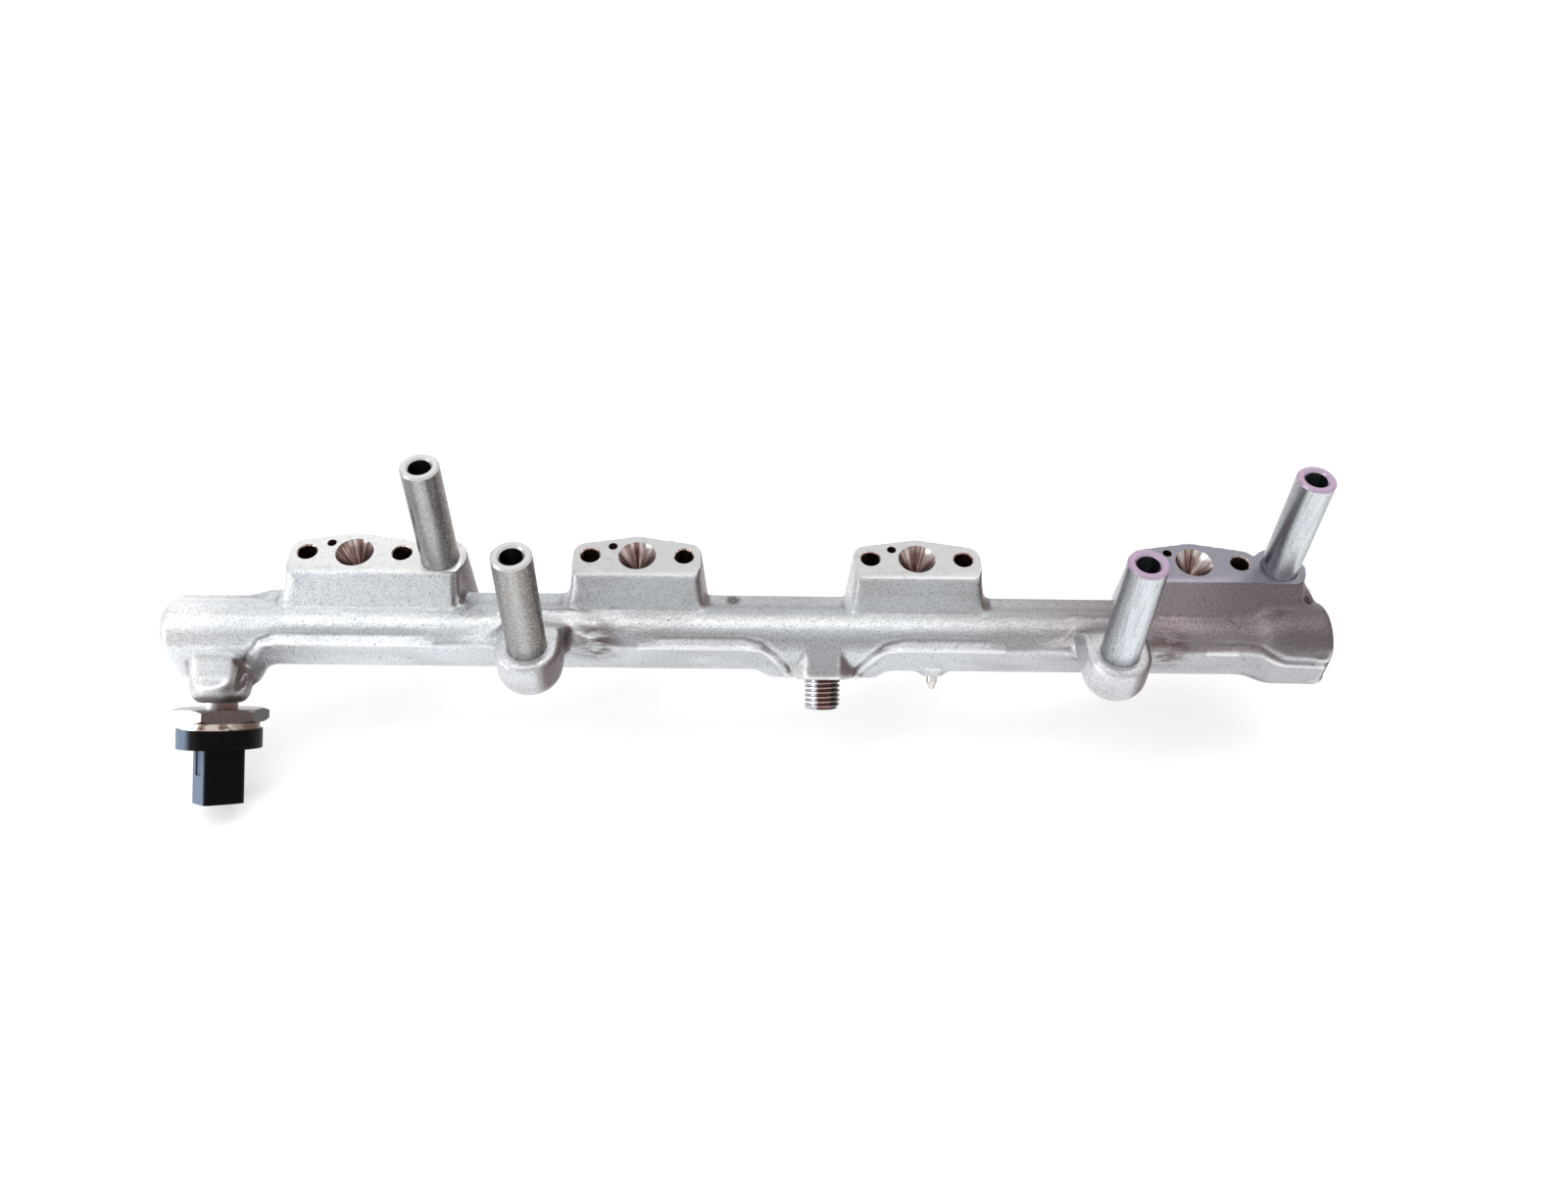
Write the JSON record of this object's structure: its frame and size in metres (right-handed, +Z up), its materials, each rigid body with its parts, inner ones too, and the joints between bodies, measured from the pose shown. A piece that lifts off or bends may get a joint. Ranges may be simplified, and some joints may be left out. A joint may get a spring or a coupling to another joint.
{
  "type": "fuel rail",
  "caption": "Forged steel high-pressure fuel rail with injector pads, fixing sleeves, a threaded inlet stub and a pressure sensor.",
  "frame": {"origin": "centre of the first injector seat, in the plane of the machined pad faces; the first seat is the one nearest the pressure sensor", "axes": "+X along the rail, away from the pressure sensor; +Y to the back, away from the ports; +Z up out of the pad faces, along the fixing sleeves"},
  "size_m": [0.3705, 0.0753, 0.0993],
  "materials": {
    "forged_steel": "blasted satin",
    "turned_steel": "turned satin",
    "bright_steel": "bright",
    "sensor_steel": "machined",
    "ring_plastic": "matt",
    "board_laminate": "matt",
    "seal_rubber": "matt",
    "black_plastic": "fine grain",
    "terminal_alloy": "tinned"
  },
  "bodies": {
    "root": {"rail_body": "forged_steel", "mounting_sleeve_1": "turned_steel", "mounting_sleeve_2": "turned_steel", "mounting_sleeve_3": "turned_steel", "mounting_sleeve_4": "turned_steel", "inlet_nipple": "bright_steel", "inlet_throttle": "bright_steel", "locating_pin": "bright_steel", "closing_ball": "bright_steel", "end_plug": "turned_steel", "sensor_port": "sensor_steel", "pressure_cell": "bright_steel", "sensor_collar": "bright_steel", "board_support_ring": "ring_plastic", "sensor_circuit_board": "board_laminate", "housing_seal": "seal_rubber", "connector_housing": "black_plastic", "sensor_terminal_1": "terminal_alloy", "sensor_terminal_2": "terminal_alloy", "sensor_terminal_3": "terminal_alloy"}
  },
  "joints": []
}
